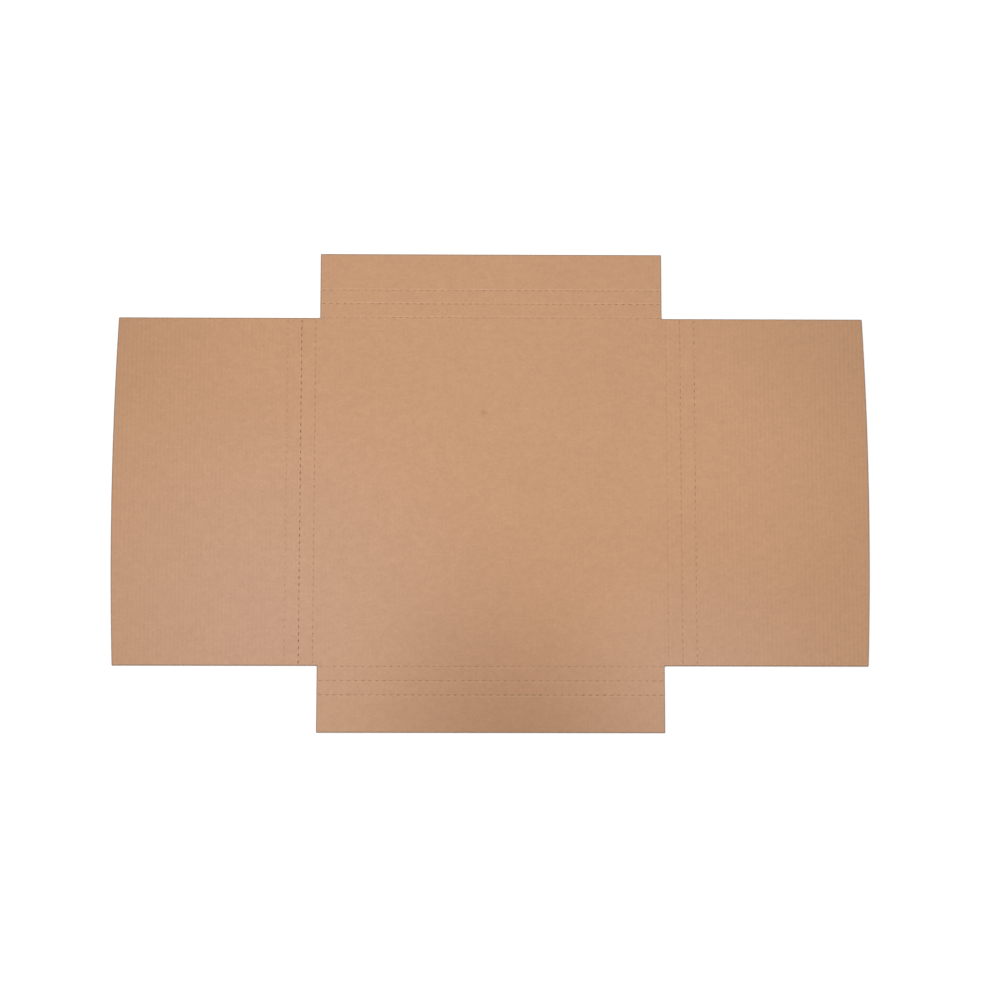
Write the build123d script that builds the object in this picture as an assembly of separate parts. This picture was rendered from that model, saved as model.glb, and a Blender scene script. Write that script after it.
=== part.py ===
from build123d import *
import os

# Flat blank of a corrugated mailer box with three fold depths, as it is packed flat.
# One cross-shaped sheet: a square base, a long wing on the left and on the right, and a short
# flap at the top and at the bottom. Each side of the base has three parallel creases, so the
# same blank folds to three depths. Every crease is a shallow pressed groove with a row of cuts.
# Millimetres. The sheet lies on z = 0, its middle is at the origin, the wings reach along x,
# and the flutes of the board run along y, so their open ends show at the edges that face y.

# Blank
inside_side = 317.5  # square inside of the folded box
fold_allowance = 1.5  # the first creases stand this much wider, for the board's own thickness
depth_step = 12.7  # from one crease to the next, and so from one box depth to the next
creases_a_side = 3
wing_width = 317.5  # along y
wing_reach = 182.4  # from its first crease to the middle of its outer edge
wing_bow = 3.4  # the outer edge is a shallow arc, and its corners fall back by this much
flap_width = 311.1  # along x, narrower than the base so that the flaps tuck in
flap_reach = 59.0  # from its first crease to its outer edge

# Corrugated board
liner = 0.35  # thickness of the upper and of the lower liner
medium = 0.25  # thickness of the fluted paper between them
flute_height = 1.5  # clear height between the liners
flute_pitch = 3.86  # from one wave to the next
solid_rim = 0.5  # least width left solid between a flute and a cut edge or a crease

# Creases and their cuts
crease_width = 1.4  # across the groove, at the surface
crease_floor = 0.8  # across its flat floor
crease_depth = 0.12
cut_pitch = 6.35  # half cut and half uncut
cut_length = 3.2
cut_width = 0.6  # where it opens in the crease's floor
cut_depth = 0.2  # below that floor, at the middle of the cut

# Clearances for the tools that cut the sheet
overrun = 1.0  # how far a groove's tool runs past the edge that it opens through
lift = 0.05  # how far a cut's tool starts above the crease's floor

# What follows from these sizes
thickness = 2 * liner + flute_height
first_crease = inside_side / 2 + fold_allowance / 2
crease_lines = [first_crease + depth_step * i for i in range(creases_a_side)]
wing_end = first_crease + wing_reach
wing_corner = wing_end - wing_bow
flap_end = first_crease + flap_reach


def wing_outline(side):
    """One wing with the base's half: square at the middle, a shallow arc at its outer edge."""
    half = wing_width / 2
    edges = [
        Line((0, -half), (side * wing_corner, -half)),
        ThreePointArc((side * wing_corner, -half), (side * wing_end, 0), (side * wing_corner, half)),
        Line((side * wing_corner, half), (0, half)),
        Line((0, half), (0, -half)),
    ]
    return make_face(edges)


def blank_outline():
    """The die-cut cross: both wings, and the two flaps as one strip through the base."""
    flaps = Rectangle(flap_width, 2 * flap_end)
    return flaps + wing_outline(1) + wing_outline(-1)


def flute_channel(x, opens_down):
    """Section of the space under one wave of the medium, or over it when it opens upwards."""
    rise = flute_height - medium
    half_mouth = flute_pitch / 2 - medium / 2
    if opens_down:
        mouth_z, peak_z = liner, liner + rise
    else:
        mouth_z, peak_z = thickness - liner, thickness - liner - rise
    return Wire.make_polygon([(x - half_mouth, 0, mouth_z), (x + half_mouth, 0, mouth_z), (x, 0, peak_z)])


def flute_fits(x):
    """True where a flute at x stays clear of the wings' ends, the flaps' sides and the creases."""
    reach = flute_pitch / 2 - medium / 2 + solid_rim
    if abs(x) + reach > wing_corner:
        return False
    if abs(abs(x) - flap_width / 2) < reach:
        return False
    return all(abs(abs(x) - line) > reach + crease_floor / 2 for line in crease_lines)


def fluted_board():
    """The board's section along x, with the zigzag medium between its liners, drawn out along y."""
    half_steps = int(2 * wing_end / flute_pitch)
    places = [(i * flute_pitch / 2, i % 2 == 0) for i in range(-half_steps, half_steps + 1)]
    channels = [flute_channel(x, opens_down) for x, opens_down in places if flute_fits(x)]
    corners = [(-wing_end, 0, 0), (wing_end, 0, 0), (wing_end, 0, thickness), (-wing_end, 0, thickness)]
    section = Face(Wire.make_polygon(corners), channels)
    return extrude(section, amount=flap_end, dir=(0, 1, 0), both=True), len(channels)


def crease_groove(length):
    """Tool for one groove along x at the origin: a trapezoid that opens through both edges."""
    slope = (crease_width - crease_floor) / 2 / crease_depth
    top_half = crease_width / 2 + slope * lift
    floor_half = crease_floor / 2
    floor_z = thickness - crease_depth
    section = Wire.make_polygon(
        [
            (-length / 2 - overrun, -floor_half, floor_z),
            (-length / 2 - overrun, floor_half, floor_z),
            (-length / 2 - overrun, top_half, thickness + lift),
            (-length / 2 - overrun, -top_half, thickness + lift),
        ]
    )
    return extrude(Face(section), amount=length + 2 * overrun, dir=(1, 0, 0))


def knife_cut():
    """Tool for one cut along x: pointed at both ends and deepest at its middle."""
    grow = (cut_depth + lift) / cut_depth
    half_length = grow * cut_length / 2
    half_width = grow * cut_width / 2
    start_z = thickness - crease_depth + lift
    mouth = Wire.make_polygon(
        [
            (-half_length, 0, start_z),
            (0, -half_width, start_z),
            (half_length, 0, start_z),
            (0, half_width, start_z),
        ]
    )
    return loft([Face(mouth), Vertex(0, 0, thickness - crease_depth - cut_depth)])


def crease_tools(length):
    """One crease along x at the origin: its groove, and as many whole cuts as it has room for."""
    cuts = int((length - cut_length) / cut_pitch) + 1
    first = -(cuts - 1) * cut_pitch / 2
    knife = knife_cut()
    row = [Pos(first + cut_pitch * i, 0, 0) * knife for i in range(cuts)]
    return [crease_groove(length)] + row


def all_creases():
    """The creases of the flaps run along x, and those of the wings run along y."""
    grooves, cuts = [], []
    for length, turn in ((flap_width, 0), (wing_width, 90)):
        groove, *row = crease_tools(length)
        for line in crease_lines:
            for side in (1, -1):
                place = Rot(0, 0, turn) * Pos(0, side * line, 0)
                grooves.append(place * groove)
                cuts += [place * cut for cut in row]
    return grooves, cuts


board, channel_count = fluted_board()
blank = board & extrude(blank_outline(), amount=thickness)
grooves, cuts = all_creases()
blank = (blank - grooves) - cuts
blank = blank.solid()

os.makedirs("parts", exist_ok=True)
export_step(blank, "parts/box_blank.step")
size = blank.bounding_box().size
print(f"blank {size.X:.1f} x {size.Y:.1f} x {size.Z:.2f} mm, {channel_count} flute channels")
print(f"{len(grooves)} creases with {len(cuts)} cuts, volume {blank.volume / 1000:.1f} cm3")
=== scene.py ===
# %% [markdown]
# A flattened mailer box: one cross of brown corrugated board.
# The real blank is a single sheet that a die cut out of flat board. Nothing is glued or folded yet,
# so its character sits in small things: the pressed creases with their rows of knife cuts, the raw
# edges where the waves of the board can be seen, and the warm, slightly uneven brown of the paper.
# This lesson models the three papers of the board first, and then gives them their kraft finish.

# %% Load the frame
import math
from collections import namedtuple
import bmesh
import bpy
from mathutils import Matrix, Vector, noise as smooth_noise


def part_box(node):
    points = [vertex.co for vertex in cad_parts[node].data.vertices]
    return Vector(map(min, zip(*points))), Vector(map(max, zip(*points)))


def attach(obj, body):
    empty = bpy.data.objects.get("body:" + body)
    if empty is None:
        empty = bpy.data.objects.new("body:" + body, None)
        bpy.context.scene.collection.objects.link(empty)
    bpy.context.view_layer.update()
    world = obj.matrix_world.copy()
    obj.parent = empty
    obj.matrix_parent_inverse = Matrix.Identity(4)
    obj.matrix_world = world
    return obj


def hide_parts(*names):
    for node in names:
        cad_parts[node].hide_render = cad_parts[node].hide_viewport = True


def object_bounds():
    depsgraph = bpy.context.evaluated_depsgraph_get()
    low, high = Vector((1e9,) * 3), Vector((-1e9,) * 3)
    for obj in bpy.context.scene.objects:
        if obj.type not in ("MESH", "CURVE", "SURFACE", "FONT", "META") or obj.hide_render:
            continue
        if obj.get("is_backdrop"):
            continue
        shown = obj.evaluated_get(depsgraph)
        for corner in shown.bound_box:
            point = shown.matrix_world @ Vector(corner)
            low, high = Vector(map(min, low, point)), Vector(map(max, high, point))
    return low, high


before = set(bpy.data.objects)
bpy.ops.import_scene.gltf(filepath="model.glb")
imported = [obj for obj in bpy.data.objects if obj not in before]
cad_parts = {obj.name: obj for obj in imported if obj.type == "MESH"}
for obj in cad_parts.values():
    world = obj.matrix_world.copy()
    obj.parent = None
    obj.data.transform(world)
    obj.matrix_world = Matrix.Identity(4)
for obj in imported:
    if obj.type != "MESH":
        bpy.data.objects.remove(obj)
cad_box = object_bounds()
print("the frame holds", sorted(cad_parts))

# %% [markdown]
# The frame says how far the wings and the flaps reach and how thick the board is. The other sizes
# are named here once, in metres, and all three papers use them, so that they line up when they lie
# on each other. A small table of millimetres is easier to check against a ruler than metres are.

# %% Sizes of the blank
MM = 0.001
wing_end, flap_end, board_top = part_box("box_blank")[1]

wing_half = 158.75 * MM  # half the width of a wing
flap_half = 155.55 * MM  # half the width of a flap
wing_bow = 3.4 * MM  # how far the corners of a wing's outer edge fall back
bow_start = 300 * MM  # where the slide towards that arc begins
crease_lines = [159.5 * MM, 172.2 * MM, 184.9 * MM]
flute_pitch = 3.86 * MM
liner_paper = 0.34 * MM
medium_paper = 0.24 * MM
print(f"blank {2000 * wing_end:.1f} x {2000 * flap_end:.1f} mm, board {1000 * board_top:.1f} mm thick")

# %% [markdown]
# A crease is pressed by a steel rule. It dents the board to a shallow valley, and the paper that it
# pushes aside stands up as a low lip along both sides. Teeth on the rule cut through the board every
# quarter of an inch, so the crease folds without cracking. No two lines of the real blank look
# quite alike, because the rules wear. So each line has its own opening and its own strength.

# %% The creases and their cuts
lip_height = 0.04 * MM
valley_depth = 0.14 * MM
crease_steps = [0.30 * MM, 0.60 * MM, 0.95 * MM, 1.45 * MM]  # where the pressed shape turns
crease_heights = [-0.11 * MM, -0.02 * MM, lip_height, 0.0]  # and how high it stands there

cut_pitch = 6.35 * MM
cut_length = 3.2 * MM
# The three numbers for each side of the base go from the inner crease to the outer one.
cut_opening = {
    "left": [0.25 * MM, 0.58 * MM, 0.15 * MM],
    "right": [0.11 * MM, 0.22 * MM, 0.28 * MM],
    "far": [0.20 * MM, 0.33 * MM, 0.23 * MM],
    "near": [0.22 * MM, 0.28 * MM, 0.35 * MM],
}
line_strength = {
    "left": [0.38, 1.00, 0.28],
    "right": [0.12, 0.36, 0.46],
    "far": [0.30, 0.48, 0.32],
    "near": [0.36, 0.46, 0.60],
}
# How strong the painted highlight on the outer lips is on each side.
painted_lip_highlight = {"left": 0.10, "right": 0.18, "far": 0.85, "near": 0.40}


def cut_middles(length):
    """Where the cuts of a crease of this length have their middles, along it."""
    count = int((length - cut_length) / cut_pitch) + 1
    return [cut_pitch * (i - (count - 1) / 2) for i in range(count)]


wing_cuts = cut_middles(2 * wing_half)
flap_cuts = cut_middles(2 * flap_half)
print(len(wing_cuts), "cuts in each wing crease,", len(flap_cuts), "in each flap crease")

# %% [markdown]
# A liner could be a flat face with slots cut by booleans, but six hundred booleans are slow. An
# uneven grid is quicker. Its columns and rows stand only where something changes: at the edges of
# the blank, at the turns of a crease, and at the ends of the cuts. So every slot is a whole face.

# %% Columns and rows of a liner
edge_steps = [0.0, 0.4 * MM, 1.0 * MM]  # the rounded rim of a die-cut edge


def crease_places(sides, steps):
    """Grid places across the creases on both sides of the middle, with their cuts' two edges."""
    places = []
    for sign, side in ((-1, sides[0]), (1, sides[1])):
        for line, opening in zip(crease_lines, cut_opening[side]):
            offsets = [opening / 2] + steps
            places += [sign * line + turn * offset for offset in offsets for turn in (-1, 1)]
    return places


def cut_places(middles):
    """Grid places at both ends and at the middle of every cut."""
    return [middle + part * cut_length / 2 for middle in middles for part in (-1, 0, 1)]


def edge_places(ends):
    """Grid places along the blank's edges, and just inside them for the rounded rim."""
    return [sign * (end - step) for end in ends for step in edge_steps for sign in (-1, 1)]


def liner_grid(steps):
    """The columns of a liner from left to right, and its rows from near to far."""
    columns = crease_places(("left", "right"), steps) + cut_places(flap_cuts)
    rows = crease_places(("near", "far"), steps) + cut_places(wing_cuts)
    columns += edge_places((wing_end, flap_half))
    rows += edge_places((flap_end, wing_half))
    return sorted(columns), sorted(rows)


for name, steps in (("upper", crease_steps), ("flat lower", [])):
    columns, rows = liner_grid(steps)
    print(len(columns), "columns and", len(rows), "rows for the", name, "liner")

# %% [markdown]
# `create_grid` makes an even grid from -1 to 1. Each vertex still knows its column and row by where
# that grid put it, and it's moved to the real place.

# %% Lay out a sheet
def lay_out(columns, rows):
    """A flat sheet whose grid lines stand at these columns and rows."""
    sheet = bmesh.new()
    last_column = len(columns) - 1
    last_row = len(rows) - 1
    bmesh.ops.create_grid(sheet, x_segments=last_column, y_segments=last_row, size=1)
    for vert in sheet.verts:
        column = round((vert.co.x + 1) / 2 * last_column)
        row = round((vert.co.y + 1) / 2 * last_row)
        vert.co = (columns[column], rows[row], 0)
    return sheet


upper = lay_out(*liner_grid(crease_steps))
lower = lay_out(*liner_grid([]))
print("laid out", len(upper.faces), "and", len(lower.faces), "faces")

# %% [markdown]
# Most later steps ask the same question of a place on the sheet: which crease is nearest, how far
# off is it, and where along it are its cuts? One function answers it. The creases of the wings run
# along y and those of the flaps along x, so it first finds out which of them the place belongs to.

# %% Find the nearest crease
Crease = namedtuple("Crease", "distance along opening strength middles")
hair = 0.01 * MM  # less than any step of the grid, for what lies on a line


def side_of(x, y):
    """The wing or flap that a point lies on or points to, and its place across and along it."""
    if abs(x) > flap_half + hair:
        return "right" if x > 0 else "left", abs(x), y, wing_cuts
    return "far" if y > 0 else "near", abs(y), x, flap_cuts


def nearest_crease(x, y):
    """The crease nearest to a point, with the distance to it and the place along it."""
    side, across, along, middles = side_of(x, y)
    found = []
    for line, opening, strength in zip(crease_lines, cut_opening[side], line_strength[side]):
        found.append(Crease(abs(across - line), along, opening, strength, middles))
    return min(found)


print("from the middle of the base to a crease:", round(nearest_crease(0, 0).distance / MM, 1), "mm")

# %% [markdown]
# Then the faces in the four notches and in the knife cuts are deleted. The outline is the cross of
# the blank, and the slots are exactly as long as the knife's teeth.

# %% Cut out the blank
def in_notch(x, y, inset):
    """True outside the cross, in one of its four corners, or this near to a flap's side."""
    return abs(x) > flap_half - inset and abs(y) > wing_half


def in_cut(x, y):
    """True between the two edges of a knife cut."""
    crease = nearest_crease(x, y)
    if crease.distance >= crease.opening / 2:
        return False
    return any(abs(crease.along - middle) < cut_length / 2 for middle in crease.middles)


def cut_out(sheet, inset=0.0):
    """Deletes the faces in the notches and in the cuts."""
    waste = []
    for face in sheet.faces:
        middle = face.calc_center_median()
        if in_notch(middle.x, middle.y, inset) or in_cut(middle.x, middle.y):
            waste.append(face)
    bmesh.ops.delete(sheet, geom=waste, context="FACES")
    return len(waste)


for name, sheet in (("upper", upper), ("lower", lower)):
    waste_count = cut_out(sheet)
    print(name, "liner:", waste_count, "faces cut away,", len(sheet.faces), "left")

# %% [markdown]
# The flat plan now gets its real form, vertex by vertex. A knife cut is pointed at both ends, so its
# edges nearly close there, and some cuts spring open wider than others, which a slow noise decides.
# All the edges of the cuts lie beside the line of their crease, so a vertex only slides towards it.

# %% Close the cuts
end_pull = 0.8  # how far the edges of a cut are drawn together at its ends
edge_reach = 0.6  # of a cut's opening: only its own two edges lie this near to its line
drift_size = 26 * MM  # about how far it is from wide cuts to narrow ones
usual_gap, gap_drift, least_gap = 0.76, 0.9, 0.25  # of a cut's opening


def openness(x, y):
    """How far the cut at this place has sprung open, from a quarter to fully."""
    drift = smooth_noise.noise(Vector((x, y, 0)) / drift_size)
    return max(least_gap, min(1.0, usual_gap + gap_drift * drift))


def at_cut_middle(crease):
    """True level with the middle of one of the crease's cuts."""
    return min(abs(crease.along - middle) for middle in crease.middles) < hair


def close_cut(vert):
    """Draws the edges of a cut together: nearly shut at its ends, and less at its middle."""
    crease = nearest_crease(vert.co.x, vert.co.y)
    if crease.distance > crease.opening * edge_reach:
        return
    pull = 1 - openness(vert.co.x, vert.co.y) if at_cut_middle(crease) else end_pull
    axis = 0 if crease.middles is wing_cuts else 1
    place = vert.co[axis]
    line = min(crease_lines, key=lambda line: abs(line - abs(place)))
    vert.co[axis] += math.copysign(crease.distance * pull, (line - abs(place)) * place)


print("a cut at the middle of the left wing opens to", round(100 * openness(-crease_lines[1], 0)), "%")

# %% [markdown]
# The outer edges of the wings bow out by a few millimetres. A crease is a valley with a lip on each
# side, and its height depends only on the distance from its line. A die-cut edge is a little
# crushed, and so it's rounded over.

# %% Bow, valley and rim
def bowed(x, y):
    """How far a point near a wing's outer edge slides in, to follow that edge's arc."""
    share = max(0.0, (abs(x) - bow_start) / (wing_end - bow_start))
    return -math.copysign(wing_bow * share * (y / wing_half) ** 2, x)


def pressed_height(distance):
    """Height of the pressed board at this distance from the middle of a crease."""
    turns = [(0.0, -valley_depth)] + list(zip(crease_steps, crease_heights))
    for (start, start_height), (end, end_height) in zip(turns, turns[1:]):
        if distance <= end:
            share = (distance - start) / (end - start)
            return start_height + share * (end_height - start_height)
    return 0.0


def to_rim(x, y):
    """Distance from a point of the flat plan to the nearest cut edge."""
    if abs(x) > flap_half + hair:
        return min(wing_end - abs(x), wing_half - abs(y))
    if abs(y) > wing_half + hair:
        return min(flap_end - abs(y), flap_half - abs(x))
    return math.hypot(flap_half - abs(x), wing_half - abs(y))


def rim_share(distance):
    """1 on a cut edge, fading to 0 where its rounded rim ends."""
    return max(0.0, min(1.0, 1 - distance / edge_steps[-1]))


def lip_highlight_share(x, y):
    """How strong the painted highlight is here: only on the outer lip of a crease."""
    side, across = side_of(x, y)[:2]
    on_lip = any(abs(across - line - crease_steps[2]) < hair for line in crease_lines)
    return painted_lip_highlight[side] if on_lip else 0.0


print("a crease is", round(-pressed_height(0.0) / MM, 2), "mm deep in its middle")

# %% [markdown]
# With these a liner gets its form. Four attributes keep how hard a place was pressed, where a cut
# was torn, where a lip gets its painted highlight and how near it is to a rim, and the paper's colour
# reads them later: the valleys and cuts get partly painted shade, and the rim gets painted shade. The
# lower liner stays flat: the press came from above, so only its cuts and its outline follow the upper one.

# %% Shape the liners
kept_values = ("pressed", "torn_and_cut_shade", "lip", "rim")
rim_drop = 0.12 * MM  # how far the face sinks at a cut edge


def shape_liner(sheet, face_height, relief):
    """Gives a plan its height, its bowed ends and its closed cuts, and notes how it was pressed."""
    pressed, torn_and_cut_shade, lip, rim = [sheet.verts.layers.float.new(name) for name in kept_values]
    for vert in sheet.verts:
        x, y = vert.co.x, vert.co.y
        crease = nearest_crease(x, y)
        vert[pressed] = relief * crease.strength * max(0.0, 1 - crease.distance / crease_steps[1])
        if at_cut_middle(crease):
            vert[torn_and_cut_shade] = vert[pressed]
        vert[lip] = relief * lip_highlight_share(x, y)
        vert[rim] = rim_share(to_rim(x, y))
        vert.co.z = face_height + relief * (pressed_height(crease.distance) - rim_drop * vert[rim] ** 2)
        close_cut(vert)
        vert.co.x += bowed(x, y)


shape_liner(upper, board_top - lip_height, 1.0)
shape_liner(lower, liner_paper, 0.0)
print("upper liner from", round(1000 * min(v.co.z for v in upper.verts), 2), "mm up")

# %% [markdown]
# The middle of the base is flat and plain, so its thousands of small faces are joined to one large
# one. The paper gets its thickness with `solidify`, and the narrow faces that then stand upright are
# the cut edges, which need a finish of their own.

# %% Give a paper its thickness
FACE_FINISH, EDGE_FINISH, MEDIUM_FINISH, UNDER_FINISH = 0, 1, 2, 3
upright = 0.3  # a face whose normal points up or down by less than this is a cut edge


def join_base(sheet):
    """Joins the flat faces in the middle of the base to one."""
    reach_x = flap_half - edge_steps[-1]
    reach_y = wing_half - edge_steps[-1]
    middles = [(face, face.calc_center_median()) for face in sheet.faces]
    base = [face for face, middle in middles if abs(middle.x) < reach_x and abs(middle.y) < reach_y]
    bmesh.ops.dissolve_faces(sheet, faces=base, use_verts=False)
    return len(base)


def thicken(sheet, thickness, finish):
    """Adds the paper's thickness, and marks the upright faces as cut edges."""
    bmesh.ops.solidify(sheet, geom=sheet.faces[:], thickness=thickness)
    bmesh.ops.recalc_face_normals(sheet, faces=sheet.faces[:])
    for face in sheet.faces:
        face.material_index = EDGE_FINISH if abs(face.normal.z) < upright else finish
    return sum(len(face.verts) - 2 for face in sheet.faces)


for name, sheet, finish in (("upper", upper, FACE_FINISH), ("lower", lower, UNDER_FINISH)):
    joined = join_base(sheet)
    triangles = thicken(sheet, liner_paper, finish)
    print(f"{name} liner: {joined} faces of the base joined, {triangles} triangles")

# %% [markdown]
# Between the liners runs the medium, a paper pressed into waves. Its waves run along y, so they show
# as a wavy line in every edge that faces y. Under the creases of the wings it is squeezed with the
# liner above it. The flap creases cross its waves, and there the liner's dent sinks into the wave
# tops, where no eye can reach, so the medium stays as it is.

# %% The wave of the medium
glue = 0.03 * MM  # how deep the wave tops sit in the glue of each liner


def medium_height(x):
    """Upper face of the medium at this x."""
    distance = min(abs(abs(x) - line) for line in crease_lines)
    ceiling = board_top - lip_height - liner_paper + min(0.0, pressed_height(distance))
    bottom = liner_paper - glue + medium_paper
    lift = 0.5 + 0.5 * math.cos(2 * math.pi * x / flute_pitch)
    return bottom + (ceiling + glue - bottom) * lift


trough, crest = medium_height(flute_pitch / 2), medium_height(flute_pitch)
print(f"the medium's upper face swings between {trough / MM:.2f} and {crest / MM:.2f} mm")

# %% [markdown]
# The medium is laid out like the liners, with twelve columns a wave and hardly any rows. Its ends
# follow the arcs of the wings. Columns that slid with an arc would bend the waves, so these ends are
# cut with planes, one for each chord of the arc. It stays a little behind the liners there, so that
# no face of it lies in a face of theirs.

# %% The medium
steps_a_wave = 12
wave_step = flute_pitch / steps_a_wave
inset = 0.25 * MM  # how far it stays behind the ends and sides that its waves run along
end_chords = 12  # straight cuts for the arc of one wing's end


def end_parts(sheet, side):
    """The faces by one wing's end, with their edges and corners, for an operator to cut."""
    near_end = wing_end - 3 * wing_bow
    faces = [face for face in sheet.faces if side * face.calc_center_median().x > near_end]
    edges = {edge for face in faces for edge in face.edges}
    verts = {vert for face in faces for vert in face.verts}
    return [*verts, *edges, *faces]


def trim_wing_ends(sheet):
    """Cuts both wings along the chords of their arcs, so that the waves stay straight."""
    for side in (-1, 1):
        for chord in range(end_chords):
            y0, y1 = (wing_half * (2 * (chord + step) / end_chords - 1) for step in (0, 1))
            x0, x1 = (wing_end - inset - wing_bow * (y / wing_half) ** 2 for y in (y0, y1))
            bmesh.ops.bisect_plane(
                sheet,
                geom=end_parts(sheet, side),
                plane_co=(side * x0, y0, 0),
                plane_no=Vector((side * (y1 - y0), x0 - x1, 0)).normalized(),
                clear_outer=True,
            )


wave_count = int(wing_end / wave_step)
wave_columns = [wave_step * i for i in range(-wave_count, wave_count + 1)]
wave_columns = sorted(wave_columns + [-wing_end, inset - flap_half, flap_half - inset, wing_end])
medium = lay_out(wave_columns, [-flap_end, -wing_half, wing_half, flap_end])
cut_out(medium, inset)
for vert in medium.verts:
    vert.co.z = medium_height(vert.co.x)
trim_wing_ends(medium)
for name in kept_values:
    medium.verts.layers.float.new(name)
print("medium:", thicken(medium, medium_paper, MEDIUM_FINISH), "triangles")

# %% [markdown]
# The three papers are glued for good, so they become one piece. It takes the place of the plain
# sheet in the frame and keeps its outline and its thickness. The sheet can't bend, so the piece
# simply rides on the root body.

# %% Join the papers
board_mesh = bpy.data.meshes.new("corrugated_board")
board_work = bmesh.new()
for paper in (upper, medium, lower):
    paper.to_mesh(board_mesh)
    board_work.from_mesh(board_mesh)
    paper.free()
board_work.to_mesh(board_mesh)
board_work.free()
board = bpy.data.objects.new("corrugated_board", board_mesh)
bpy.context.scene.collection.objects.link(board)
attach(board, "root")
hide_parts("box_blank")
reach = [round(1000 * size, 2) for size in board.dimensions]
print("board", reach, "mm,", sum(len(p.vertices) - 2 for p in board_mesh.polygons), "triangles")

# %% [markdown]
# The finishes are built from many small nodes, and these helpers save typing. One adds a node with
# its settings, and one adds a Math node, whose inputs may be numbers or the outputs of others.

# %% Helpers for nodes
def add(tree, kind, settings=None, **values):
    """Adds a node, sets its properties from settings and its inputs from the other values."""
    node = tree.nodes.new(kind)
    for name, value in (settings or {}).items():
        setattr(node, name, value)
    for name, value in values.items():
        node.inputs[name.replace("_", " ")].default_value = value
    return node


def fill(tree, socket, value):
    """Links an output to a socket, or sets the socket if the value is no output."""
    if isinstance(value, bpy.types.NodeSocket):
        tree.links.new(value, socket)
    else:
        socket.default_value = value


def maths(tree, operation, first, second=None, clamp=False):
    """One Math node, whose two inputs are numbers or sockets."""
    node = tree.nodes.new("ShaderNodeMath")
    node.operation = operation
    node.use_clamp = clamp
    fill(tree, node.inputs[0], first)
    if second is not None:
        fill(tree, node.inputs[1], second)
    return node.outputs[0]


print("helpers for nodes ready")

# %% [markdown]
# All patterns stand on Object coordinates, so they're fixed to the sheet. A noise is the same in all
# directions. Where paper has a direction, its coordinates are stretched before the noise reads them.

# %% Helpers for patterns
def noise(tree, vector, scale, detail=2.0, roughness=0.5):
    """A noise texture's value over a vector, at this many features to a unit."""
    node = add(tree, "ShaderNodeTexNoise", Scale=scale, Detail=detail, Roughness=roughness)
    tree.links.new(vector, node.inputs["Vector"])
    return node.outputs[0]


def stretched(tree, vector, scale, turn=0.0):
    """A vector stretched by a Mapping node, so that a pattern on it runs one way."""
    node = add(tree, "ShaderNodeMapping", Scale=scale, Rotation=(0, 0, turn))
    tree.links.new(vector, node.inputs["Vector"])
    return node.outputs[0]


def open_group(name, numbers, outputs):
    """A node group that reads a vector and some numbers, and puts out values."""
    group = bpy.data.node_groups.new(name, "ShaderNodeTree")
    group.interface.new_socket("Vector", in_out="INPUT", socket_type="NodeSocketVector")
    for label, value in numbers.items():
        socket = group.interface.new_socket(label, in_out="INPUT", socket_type="NodeSocketFloat")
        socket.default_value = value
    for label in outputs:
        group.interface.new_socket(label, in_out="OUTPUT", socket_type="NodeSocketFloat")
    return group, group.nodes.new("NodeGroupInput"), group.nodes.new("NodeGroupOutput")


print("helpers for patterns ready")

# %% [markdown]
# Kraft paper is a felt of long brown fibres. They lie mostly across the flutes, because that is the
# way the paper ran through the mill, and they gather in faint clouds a few millimetres wide. The
# group mixes fine streaks, a finer crossing grain and the clouds, and puts out one value for the
# colour and one height for the bump. It stays very quiet: the real sheet varies by about one percent.
# All its scales are features to a millimetre.

# %% Paper fibres
fibres, group_in, group_out = open_group("paper fibres", {"Cloud": 0.5}, ["Tone", "Height"])
start = group_in.outputs["Vector"]
streaks = noise(fibres, stretched(fibres, start, (0.32, 1.3, 1.0)), 1.0, 4.0, 0.75)
grains = noise(fibres, start, 0.42, 3.0, 0.8)
clouds = noise(fibres, stretched(fibres, start, (0.16, 0.21, 0.2)), 1.0, 3.0, 0.6)
fine = maths(fibres, "ADD", maths(fibres, "MULTIPLY", streaks, 0.45), maths(fibres, "MULTIPLY", grains, 0.55))
cloud_part = maths(fibres, "MULTIPLY", maths(fibres, "SUBTRACT", clouds, 0.5), group_in.outputs["Cloud"])
fibres.links.new(maths(fibres, "ADD", fine, cloud_part), group_out.inputs["Tone"])
fibres.links.new(fine, group_out.inputs["Height"])
print("group", fibres.name, "with", len(fibres.nodes), "nodes")

# %% [markdown]
# Small marks make paper look like paper: now and then a darker fleck of bark, or a pale one of filler.
# A Voronoi texture gives each cell one random value. A threshold on that value keeps one cell in
# twenty or so, and the distance to the cell's point makes a small round dot there. The cells fill
# all of space, so only the few whose point lies close to the paper leave a dot on it.

# %% Flecks in the paper
flecks, group_in, group_out = open_group("flecks", {"Spacing": 6.0, "Share": 0.06}, ["Mask"])
cells = add(flecks, "ShaderNodeTexVoronoi", Randomness=1.0)
flecks.links.new(group_in.outputs["Vector"], cells.inputs["Vector"])
flecks.links.new(maths(flecks, "DIVIDE", 1.0, group_in.outputs["Spacing"]), cells.inputs["Scale"])
pick = add(flecks, "ShaderNodeSeparateColor")
flecks.links.new(cells.outputs["Color"], pick.inputs[0])
chosen = maths(flecks, "LESS_THAN", pick.outputs[0], group_in.outputs["Share"])
near_point = maths(flecks, "MULTIPLY", cells.outputs["Distance"], group_in.outputs["Spacing"])
least_size, size_range = 0.15, 0.35  # millimetres
size_limit = maths(flecks, "ADD", maths(flecks, "MULTIPLY", pick.outputs[1], size_range), least_size)
dot = maths(flecks, "SUBTRACT", 1.0, maths(flecks, "DIVIDE", near_point, size_limit), clamp=True)
flecks.links.new(maths(flecks, "MULTIPLY", chosen, dot), group_out.inputs["Mask"])
print("group", flecks.name, "with", len(flecks.nodes), "nodes")

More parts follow.
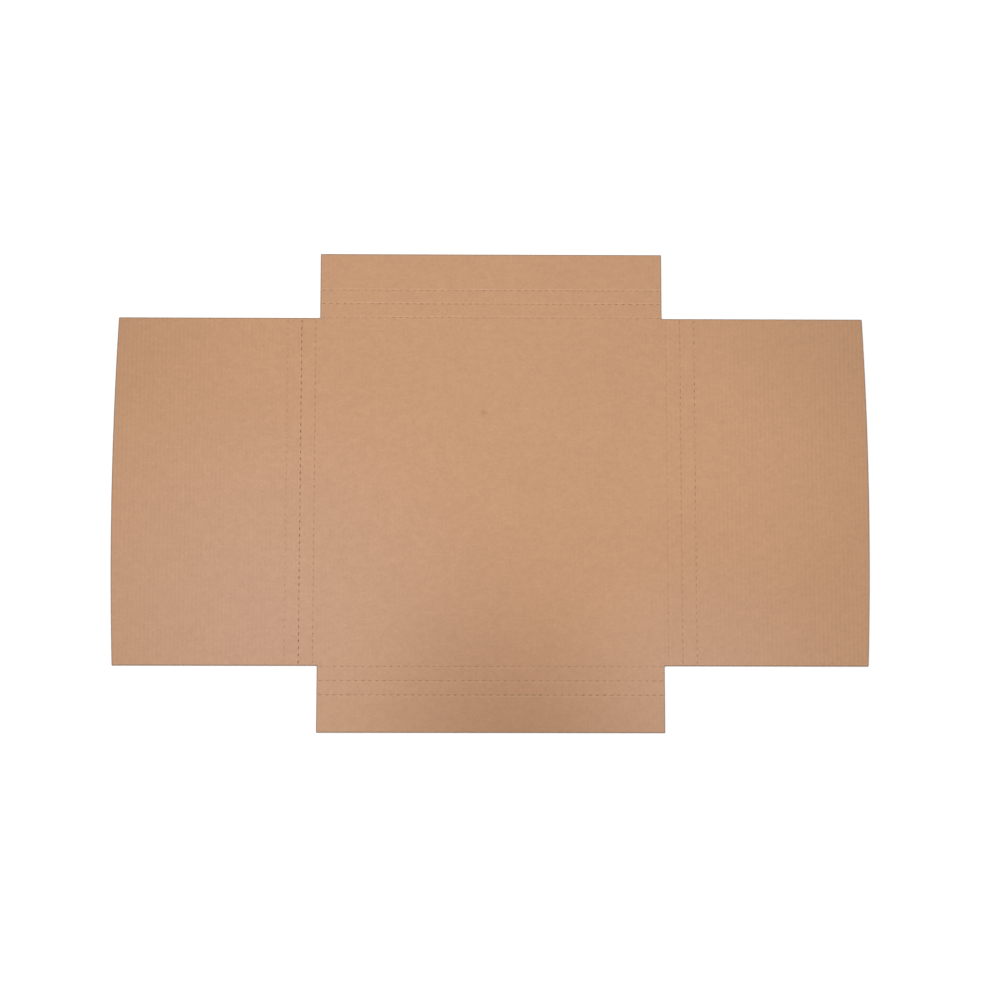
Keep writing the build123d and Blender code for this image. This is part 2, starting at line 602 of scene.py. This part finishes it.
# %% [markdown]
# The liner is glued to the wave tops and sags a hair between them, which shows as faint straight
# lines across the whole sheet. They're clear near the wings' ends and almost gone in the middle. A
# cosine of x at the flutes' pitch gives them their true place, and slow noise lets them come and go.

# %% Washboard lines
washboard, group_in, group_out = open_group("washboard", {"Pitch": 3.86}, ["Height"])
full_lines = 340.0  # millimetres from the middle, where the lines are clearest
place = add(washboard, "ShaderNodeSeparateXYZ")
washboard.links.new(group_in.outputs["Vector"], place.inputs[0])
radians = maths(washboard, "MULTIPLY", place.outputs[0], 2 * math.pi)
lines = maths(washboard, "COSINE", maths(washboard, "DIVIDE", radians, group_in.outputs["Pitch"]))
outwards = maths(washboard, "DIVIDE", maths(washboard, "ABSOLUTE", place.outputs[0]), full_lines)
slow = stretched(washboard, group_in.outputs["Vector"], (0.02, 0.006, 1.0))
drift = maths(washboard, "MULTIPLY", noise(washboard, slow, 1.0, 2.0, 0.5), 2.0)
presence = maths(washboard, "ADD", 0.2, maths(washboard, "MULTIPLY", outwards, 0.9))
presence = maths(washboard, "MULTIPLY", presence, drift)
washboard.links.new(maths(washboard, "MULTIPLY", lines, presence), group_out.inputs["Height"])
print("group", washboard.name, "with", len(washboard.nodes), "nodes")

# %% [markdown]
# The sheet has single marks: a yellow-brown stain near the middle and a few dark specks. Wide patches
# make its brown a little greyer, and other wide patches are painted shade, a little darker, and painted
# light, a little lighter. Each is a soft round spot at a given place. One group makes its mask from the
# distance to that place, and all of them use it.

# %% Soft spots
spot, group_in, group_out = open_group("soft spot", {"X": 0.0, "Y": 0.0, "Reach": 5.0}, ["Mask"])
place = add(spot, "ShaderNodeSeparateXYZ")
spot.links.new(group_in.outputs["Vector"], place.inputs[0])
from_x = maths(spot, "SUBTRACT", place.outputs[0], group_in.outputs["X"])
from_y = maths(spot, "SUBTRACT", place.outputs[1], group_in.outputs["Y"])
squares = maths(spot, "ADD", maths(spot, "MULTIPLY", from_x, from_x), maths(spot, "MULTIPLY", from_y, from_y))
share = maths(spot, "DIVIDE", maths(spot, "SQRT", squares), group_in.outputs["Reach"])
fade = add(spot, "ShaderNodeMapRange", {"interpolation_type": "SMOOTHSTEP"}, To_Min=1.0, To_Max=0.0)
spot.links.new(share, fade.inputs["Value"])
spot.links.new(fade.outputs[0], group_out.inputs["Mask"])
print("group", spot.name, "with", len(spot.nodes), "nodes")

# %% [markdown]
# Every finish mixes the same few browns. They're written as plain numbers for red, green and blue,
# so that the face, the cut edges and the marks stay one family of colours.

# %% The browns
kraft_face = (0.571, 0.322, 0.182, 1.0)
kraft_edge = (0.430, 0.235, 0.135, 1.0)
kraft_medium = (0.360, 0.200, 0.115, 1.0)
kraft_under = (0.545, 0.305, 0.180, 1.0)
kraft_dark_and_shade = (0.300, 0.150, 0.078, 1.0)  # bark flecks, specks, and crushed paper with painted shade in the crease valleys
kraft_pale_and_highlight = (0.680, 0.430, 0.285, 1.0)  # filler flecks, and the painted highlights on the crease lips
kraft_torn_and_cut_shade = (0.150, 0.070, 0.032, 1.0)  # torn paper beside a knife cut, with the painted shade of the cut
kraft_rim_shade = (0.150, 0.105, 0.075, 1.0)  # painted shade along a die-cut edge
kraft_cool = (0.592, 0.352, 0.231, 1.0)  # this tints wide patches a little greyer; the next two are painted shade and painted light
kraft_painted_shade = (0.300, 0.155, 0.091, 1.0)
kraft_painted_light = (0.685, 0.388, 0.222, 1.0)
kraft_stain = (0.420, 0.226, 0.085, 1.0)
print("the face reflects", [f"{share:.0%}" for share in kraft_face[:3]], "of red, green and blue")

# %% [markdown]
# A mask says where a second colour takes over from a first, and a Mix node does that. Three more
# helpers go with it: one makes a grey to multiply with, one sets how far a value swings, and one
# puts a node group into a material.

# %% Helpers for colours
def mix_colour(tree, mask, first, second, way="MIX"):
    """A Mix node for colours, with a mask and two colours that are values or sockets."""
    node = add(tree, "ShaderNodeMix", {"data_type": "RGBA", "blend_type": way})
    for socket, value in ((node.inputs[0], mask), (node.inputs[6], first), (node.inputs[7], second)):
        fill(tree, socket, value)
    return node.outputs[2]


def grey(tree, value):
    """One value as a grey colour."""
    node = tree.nodes.new("ShaderNodeCombineColor")
    for socket in node.inputs[:3]:
        tree.links.new(value, socket)
    return node.outputs[0]


def swing(tree, value, amount):
    """Turns a value that varies around one half into one that varies this much around zero."""
    return maths(tree, "MULTIPLY", maths(tree, "SUBTRACT", value, 0.5), amount)


def place_group(tree, group, vector, **values):
    """Puts a node group into a material, with its vector and its own values."""
    node = tree.nodes.new("ShaderNodeGroup")
    node.node_tree = group
    tree.links.new(vector, node.inputs["Vector"])
    for name, value in values.items():
        node.inputs[name].default_value = value
    return node


print("helpers for colours ready")

# %% [markdown]
# First comes the paper. Soft spots tint it a little greyer, and others lay painted shade and painted light on
# it. Then the fibres, a broad drift and the lines of the flutes make it a little lighter and darker, the
# flute lines partly as painted shade, and last the flecks are scattered.
# The pale flecks read coordinates that are turned, so that they don't fall on the dark ones.

# %% Tones and flecks
drift_tone = 0.05  # how far the broad drift takes the tone up and down
ripple_tone = 0.011  # and how far the lines of the flutes do, partly as painted shade of the ripples
dark_share, pale_share = 0.35, 0.4  # how far a fleck covers the paper
fleck_turn = 1.1  # radians


def spotted(tree, in_mm, colour, spots):
    """Lays soft spots over a colour. Each is given as x, y, reach, strength and tint."""
    for x, y, reach, amount, tint in spots:
        mask = place_group(tree, spot, in_mm, X=x, Y=y, Reach=reach).outputs["Mask"]
        colour = mix_colour(tree, maths(tree, "MULTIPLY", mask, amount), colour, tint)
    return colour


def varied(tree, in_mm, colour, fine, ripple):
    """Makes a colour lighter and darker with the fibres, a broad drift and the flute lines, whose tone is
    partly the glue under them and partly painted shade of the ripples.
    """
    broad = noise(tree, stretched(tree, in_mm, (0.011, 0.014, 0.01)), 1.0, 2.0, 0.5)
    tone = maths(tree, "ADD", fine, swing(tree, broad, drift_tone))
    # the flute lines: the glue under them, and painted shade of the ripples
    tone = maths(tree, "ADD", tone, maths(tree, "MULTIPLY", ripple, ripple_tone))
    return mix_colour(tree, 1.0, colour, grey(tree, maths(tree, "ADD", 1.0, tone)), "MULTIPLY")


def flecked(tree, in_mm, colour):
    """Scatters dark flecks over a colour, and then pale ones."""
    turned = stretched(tree, in_mm, (1, 1, 1), fleck_turn)
    dark = place_group(tree, flecks, in_mm, Spacing=7.0, Share=0.05).outputs["Mask"]
    pale = place_group(tree, flecks, turned, Spacing=9.0, Share=0.04).outputs["Mask"]
    colour = mix_colour(tree, maths(tree, "MULTIPLY", dark, dark_share), colour, kraft_dark_and_shade)
    return mix_colour(tree, maths(tree, "MULTIPLY", pale, pale_share), colour, kraft_pale_and_highlight)


print("the flute lines change the tone by", f"{ripple_tone:.1%}")

# %% [markdown]
# Then comes what the press did, with painted light and shade. Crushed paper in a crease is a little
# darker, and that darkening also paints the shade of the valley. The outer lip beside a crease gets a
# painted highlight. Beside a cut the torn paper is dark and carries the painted shade of the cut, and
# the rim of the sheet gets painted shade. Rules press unevenly, so slow noise makes one stretch of a
# crease strong and the next one faint.

# %% Marks of the press, with painted shade and highlights
uneven_swing = 3.5  # how strongly the press varies along its rules
least_press = 0.2  # what is left of a mark at its faintest
crushed_and_shade_share, highlight_share, rim_shade_share = 0.03, 0.8, 0.9  # how far each covers the paper


def kept_value(tree, name):
    """What each vertex keeps under this name."""
    return add(tree, "ShaderNodeAttribute", {"attribute_name": name}).outputs["Fac"]


def press_marks(tree, in_mm, colour):
    """Darkens what the press squeezed or tore, with painted shade in its valleys and cuts, and paints shade
    along the rim and a highlight on the lips.
    """
    drift = noise(tree, stretched(tree, in_mm, (0.04, 0.04, 1.0)), 1.0, 4.0, 0.7)
    uneven = maths(tree, "ADD", 1.0, swing(tree, drift, uneven_swing))
    uneven = maths(tree, "MAXIMUM", uneven, least_press)
    # crushed paper, a little darker, and painted shade in the crease valley
    crushed_and_shade = maths(tree, "MULTIPLY", uneven, crushed_and_shade_share)
    crushed_and_shade = maths(tree, "MULTIPLY", kept_value(tree, "pressed"), crushed_and_shade)
    # a painted highlight on the outer lips of the creases
    painted_highlight = maths(tree, "MULTIPLY", uneven, highlight_share)
    painted_highlight = maths(tree, "MULTIPLY", kept_value(tree, "lip"), painted_highlight, clamp=True)
    # torn paper at a cut, and the painted shade inside the cut
    torn_and_cut_shade = maths(tree, "MULTIPLY", kept_value(tree, "torn_and_cut_shade"), uneven, clamp=True)
    # painted shade along the rim of the sheet
    edge = maths(tree, "MULTIPLY", kept_value(tree, "rim"), rim_shade_share)
    for mask, tint in ((crushed_and_shade, kraft_dark_and_shade), (painted_highlight, kraft_pale_and_highlight), (torn_and_cut_shade, kraft_torn_and_cut_shade), (edge, kraft_rim_shade)):
        colour = mix_colour(tree, mask, colour, tint)
    return colour


print("a mark of the press keeps at least", f"{least_press:.0%}", "of its strength")

# %% [markdown]
# Kraft paper has hardly any shine, and its fibres stand up a little. A low specular level, a high
# roughness and a bump of some hundredths of a millimetre give it that dry look. One function puts
# the finish together, with a few numbers that set the smooth face, the open cut edge and the rough
# medium apart.

# %% The kraft finish
ripple_height = 0.065  # millimetres that the flute lines rise and fall, at their clearest
least_rough, rough_range = 0.78, 0.16


def feel(tree, surface, paper, ripple, bump):
    """Gives a shader the roughness of the paper, and the bumps of its fibres and flute lines."""
    rough = maths(tree, "MULTIPLY", paper.outputs["Tone"], rough_range)
    tree.links.new(maths(tree, "ADD", least_rough, rough), surface.inputs["Roughness"])
    height = maths(tree, "MULTIPLY", ripple, ripple_height)
    height = maths(tree, "ADD", height, maths(tree, "MULTIPLY", paper.outputs["Height"], bump))
    bumps = add(tree, "ShaderNodeBump", Distance=MM, Strength=1.0)
    tree.links.new(height, bumps.inputs["Height"])
    tree.links.new(bumps.outputs[0], surface.inputs["Normal"])


def kraft(name, colour, grain, bump, patches=(), marks=()):
    """A kraft paper finish: its brown, how strongly its fibres show, how rough they feel, its marks."""
    material = bpy.data.materials.new(name)
    material.use_nodes = True
    tree = material.node_tree
    where = tree.nodes.new("ShaderNodeTexCoord").outputs["Object"]
    in_mm = stretched(tree, where, (1000, 1000, 1000))
    paper = place_group(tree, fibres, in_mm, Cloud=0.42)
    ripple = place_group(tree, washboard, in_mm, Pitch=flute_pitch / MM).outputs["Height"]

    # The patches tint the brown, and some of the face's patches are painted shade and painted light.
    colour = spotted(tree, in_mm, colour, patches)
    colour = varied(tree, in_mm, colour, swing(tree, paper.outputs["Tone"], grain), ripple)
    colour = flecked(tree, in_mm, colour)
    colour = spotted(tree, in_mm, colour, marks)
    colour = press_marks(tree, in_mm, colour)

    surface = tree.nodes["Principled BSDF"]
    surface.inputs["Specular IOR Level"].default_value = 0.25
    tree.links.new(colour, surface.inputs["Base Color"])
    feel(tree, surface, paper, ripple, bump)
    return material


print("the kraft finish is ready to use")

# %% [markdown]
# Only the face has patches and marks, because only the face was seen. Some of its patches are painted
# shade and painted light. The cut edges are rougher and darker than the face, and the medium between
# the liners is darker still. The places and reaches are in millimetres, from the middle of the sheet.

# %% Four finishes for the board
face_tints_and_painted_light = [
    # The first two tint the brown greyer. The rest are painted shade, darker towards the near flap's middle
    # and at the wings' far corners, and painted light, lighter on the right wing.
    (-200, -120, 270, 0.95, kraft_cool),
    (185, -190, 170, 0.80, kraft_cool),
    (18, -262, 190, 0.50, kraft_painted_shade),
    (-12, -125, 140, 0.12, kraft_painted_shade),
    (-345, 150, 150, 0.10, kraft_painted_shade),
    (345, 150, 150, 0.10, kraft_painted_shade),
    (225, 30, 140, 0.25, kraft_painted_light),
]
face_marks = [
    (-7.2, 71.6, 3.4, 0.66, kraft_stain),
    (-4.6, 71.4, 2.6, 0.4, kraft_stain),
    (-65.9, 112.1, 0.8, 0.5, kraft_dark_and_shade),
    (156.9, 104.4, 0.8, 0.5, kraft_dark_and_shade),
    (111.4, -175.3, 0.9, 0.5, kraft_dark_and_shade),
    (-115.2, 26.3, 0.8, 0.45, kraft_dark_and_shade),
    (-138.7, 29.9, 0.8, 0.45, kraft_dark_and_shade),
]
face_finish = kraft("kraft liner", kraft_face, grain=0.49, bump=0.03, patches=face_tints_and_painted_light, marks=face_marks)
edge_finish = kraft("kraft cut edge", kraft_edge, grain=0.5, bump=0.08)
medium_finish = kraft("kraft medium", kraft_medium, grain=0.4, bump=0.05)
under_finish = kraft("kraft underside", kraft_under, grain=0.46, bump=0.03)
for finish in (face_finish, edge_finish, medium_finish, under_finish):
    board_mesh.materials.append(finish)
print("finishes:", [finish.name for finish in board_mesh.materials])

# %% [markdown]
# The blank lies on a plain floor. It is a large square, a tenth of a millimetre under the board, so
# that no two faces share one plane.

# %% Floor
floor_reach = 6  # metres from the middle to each side
floor_drop = 0.1 * MM
floor_mesh = bpy.data.meshes.new("floor")
floor_work = bmesh.new()
bmesh.ops.create_grid(floor_work, x_segments=1, y_segments=1, size=floor_reach)
bmesh.ops.translate(floor_work, vec=(0, 0, -floor_drop), verts=floor_work.verts[:])
floor_work.to_mesh(floor_mesh)
floor_work.free()
floor = bpy.data.objects.new("floor", floor_mesh)
bpy.context.scene.collection.objects.link(floor)
floor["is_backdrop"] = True
print("floor", [round(size, 1) for size in floor.dimensions[:2]], "m")

# %% [markdown]
# The photograph has a pure white ground, so the rays of the eye also see a little light of the
# floor's own, which lifts it to white without lighting the board. The floor's own shading stays
# under it, so the thin shadow beside the board's edge is kept.

# %% Floor finish
floor_glow = 0.45


def rays_of_the_eye(tree):
    """1 for rays that look at a thing, straight or in a mirror or glass, and 0 for all others."""
    rays = tree.nodes.new("ShaderNodeLightPath")
    looking = maths(tree, "MAXIMUM", rays.outputs["Is Camera Ray"], rays.outputs["Is Glossy Ray"])
    return maths(tree, "MAXIMUM", looking, rays.outputs["Is Transmission Ray"])


floor_finish = bpy.data.materials.new("white floor")
floor_finish.use_nodes = True
tree = floor_finish.node_tree
surface = tree.nodes["Principled BSDF"]
surface.inputs["Base Color"].default_value = (0.86, 0.86, 0.86, 1)
surface.inputs["Roughness"].default_value = 0.9
surface.inputs["Specular IOR Level"].default_value = 0.0
surface.inputs["Emission Color"].default_value = (1, 1, 1, 1)
glow = maths(tree, "MULTIPLY", rays_of_the_eye(tree), floor_glow)
tree.links.new(glow, surface.inputs["Emission Strength"])
floor_mesh.materials.append(floor_finish)
print("the floor glows with", floor_glow, "for the eye alone")

# %% [markdown]
# The light is that of a plain product photograph. The room is an even white, which fills every
# shadow. The eye sees the room brighter than it shines, so that no dark line stands where the floor
# ends.

# %% Room
room_light = 0.45
horizon = 0.84  # how bright the far floor looks, and so the room behind it
world = bpy.data.worlds.new("white room")
bpy.context.scene.world = world
world.use_nodes = True
tree = world.node_tree
background = tree.nodes["Background"]
background.inputs["Color"].default_value = (1, 1, 1, 1)
extra = maths(tree, "MULTIPLY", rays_of_the_eye(tree), horizon - room_light)
tree.links.new(maths(tree, "ADD", room_light, extra), background.inputs["Strength"])
print("room", room_light, "and", horizon, "for the eye")

# %% [markdown]
# One large soft lamp hangs over the middle of the sheet. It gives the creases their fine shading and
# lets the outer wings fall off a little, as they do in the photograph.

# %% Lamp
lamp_data = bpy.data.lights.new("soft lamp", "AREA")
lamp_data.shape = "DISK"
lamp_data.size = 1.1
lamp_data.energy = 3.6
lamp = bpy.data.objects.new("soft lamp", lamp_data)
lamp.location = (-0.04, 0.03, 0.6)
lamp.rotation_euler = (Vector((0, 0, 0)) - lamp.location).to_track_quat("-Z", "Y").to_euler()
bpy.context.scene.collection.objects.link(lamp)
print("lamp", round(lamp_data.energy, 2), "W,", round(lamp_data.size, 2), "m wide")

# %% [markdown]
# The camera stands almost straight above the sheet, two and a half metres up, and leans back by about
# nine degrees. The place and the lean come from the edges and the creases in the photograph: with
# these values all of them fall where the photograph has them.

# %% Camera
roll, sway, lean = 0.0023, -0.0140, -0.1544  # radians
sheet_seen = Vector((-8.18 * MM, -8.58 * MM, 2527.8 * MM))  # the sheet's middle: right, down, ahead
camera_data = bpy.data.cameras.new("camera")
camera_data.type = "PERSP"
camera_data.sensor_width = 36.0
camera_data.lens = 100.8
camera = bpy.data.objects.new("camera", camera_data)
turn = Matrix.Rotation(roll, 3, "Z") @ Matrix.Rotation(sway, 3, "Y") @ Matrix.Rotation(lean, 3, "X")
flip = Matrix.Diagonal((1, -1, -1))
world_to_camera = flip @ turn @ flip
camera_to_world = world_to_camera.transposed()
placing = camera_to_world.to_4x4()
placing.translation = Vector((0, 0, board_top)) - camera_to_world @ (flip @ sheet_seen)
camera.matrix_world = placing
bpy.context.scene.collection.objects.link(camera)
bpy.context.scene.camera = camera
bpy.context.scene.view_settings.view_transform = "Standard"
print("camera at", [round(value, 3) for value in camera.location])

# %% Sizes and finish
visual_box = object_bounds()
boxes = {
    "cad": [list(corner) for corner in cad_box],
    "visual": [list(corner) for corner in visual_box],
}
for name, corners in boxes.items():
    print(name, [[round(1000 * value, 2) for value in corner] for corner in corners])
